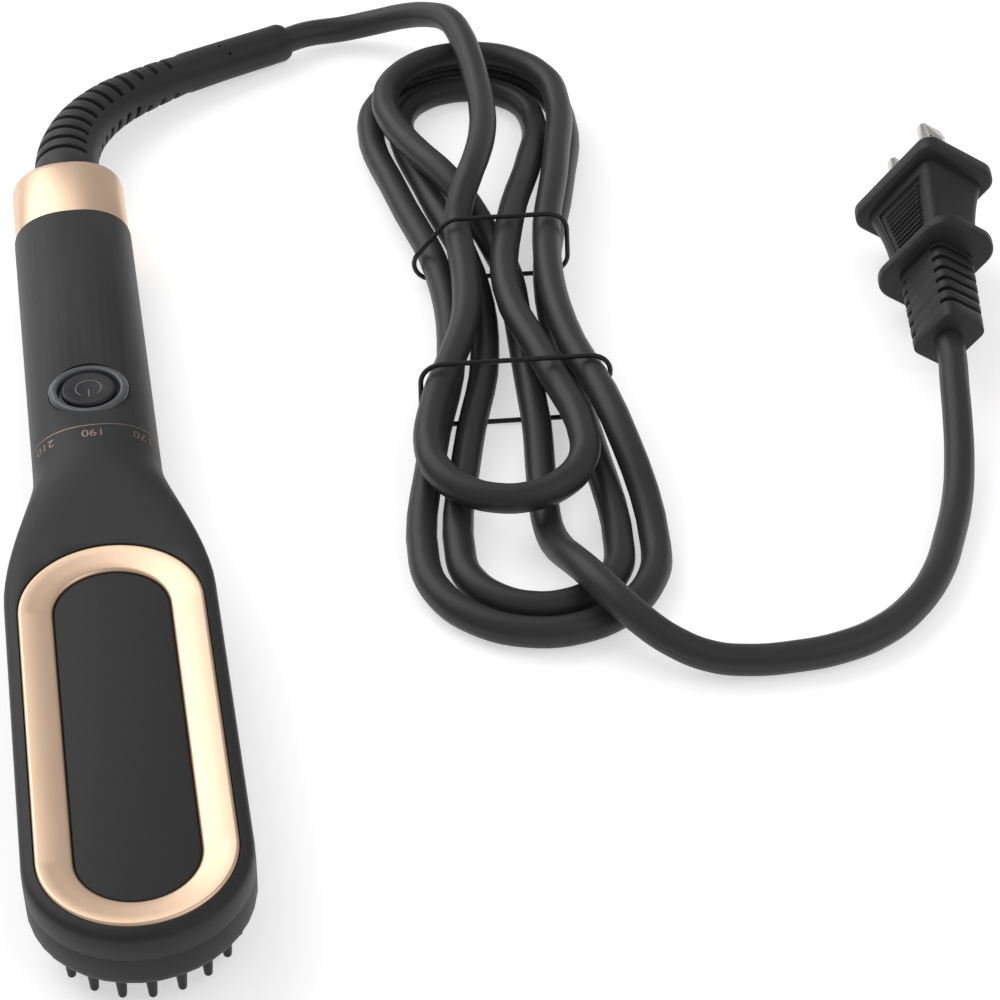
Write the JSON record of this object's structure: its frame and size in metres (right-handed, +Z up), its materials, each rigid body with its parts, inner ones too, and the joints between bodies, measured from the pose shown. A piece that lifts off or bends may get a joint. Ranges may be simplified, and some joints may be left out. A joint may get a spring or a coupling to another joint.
{
  "type": "hot comb",
  "caption": "Electric hot comb: oval handle, round lit button, racetrack head with toothed heated plate, swivel lead in a tied hank and a two-blade plug.",
  "frame": {"origin": "on the table, under the middle of the comb's bounding box, lead left out", "axes": "+Y along the comb from its head to its tail and lead, +X to the side where the hank lies, +Z up from the table towards the button side"},
  "size_m": [0.2471, 0.3419, 0.0352],
  "materials": {
    "shell_soft_black": "soft matte",
    "rose_gold": "brushed metallised",
    "panel_black": "fine matte",
    "ring_grey": "translucent satin",
    "button_black": "satin",
    "inner_nylon": "moulded",
    "guard_nylon": "moulded matte",
    "plate_coated": "coated satin",
    "hot_teeth": "ceramic coated satin",
    "white_ceramic": "matt",
    "film": "clear amber",
    "steel": "bright",
    "board": "lacquered",
    "led": "clear",
    "sensor": "glass bead",
    "wire_red": "silicone",
    "wire_blue": "silicone",
    "lead_black": "satin",
    "relief_black": "matte",
    "tie_black": "coated wire",
    "plug_black": "fine matte",
    "blade_metal": "nickel plated"
  },
  "bodies": {
    "cord_set": {"strain_relief": "relief_black", "swivel_clip": "steel", "lead_to_comb": "lead_black", "lead_hank": "lead_black", "lead_to_plug": "lead_black", "tie_far": "tie_black", "tie_near": "tie_black", "plug_body": "plug_black", "plug_blades": "blade_metal"},
    "comb": {"back_shell": "shell_soft_black", "front_shell": "shell_soft_black", "tail_collar": "rose_gold", "swivel_housing": "inner_nylon", "trim_ring": "rose_gold", "back_panel": "panel_black", "light_ring": "ring_grey", "tact_switch": "steel", "circuit_board": "board", "board_screws": "steel", "ring_leds": "led", "guard_frame": "guard_nylon", "guard_teeth_left": "guard_nylon", "guard_teeth_right": "guard_nylon", "guard_teeth_end": "guard_nylon", "guard_teeth_neck": "guard_nylon", "heated_plate": "plate_coated", "heated_teeth_left": "hot_teeth", "heated_teeth_middle": "hot_teeth", "heated_teeth_right": "hot_teeth", "heating_elements": "white_ceramic", "insulating_sheet": "film", "clamp_plate": "steel", "clamp_screws": "steel", "thermal_fuse": "white_ceramic", "temperature_sensor": "sensor", "heater_wires": "wire_red", "supply_wires": "wire_blue"},
    "button": {"power_button": "button_black", "switch_plunger": "inner_nylon"}
  },
  "joints": [
    {"name": "lead_swivel", "type": "hinge", "parent": "cord_set", "child": "comb", "pos_m": [0, 0.132, 0.00997], "axis": [0, 0.9999, -0.0133], "continuous": true},
    {"name": "button_press", "type": "slide", "parent": "comb", "child": "button", "axis": [0, -0.0133, -0.9999], "range_m": [0, 0.0006], "stiffness_N_per_m": 3000, "springref_m": -0.0003}
  ]
}
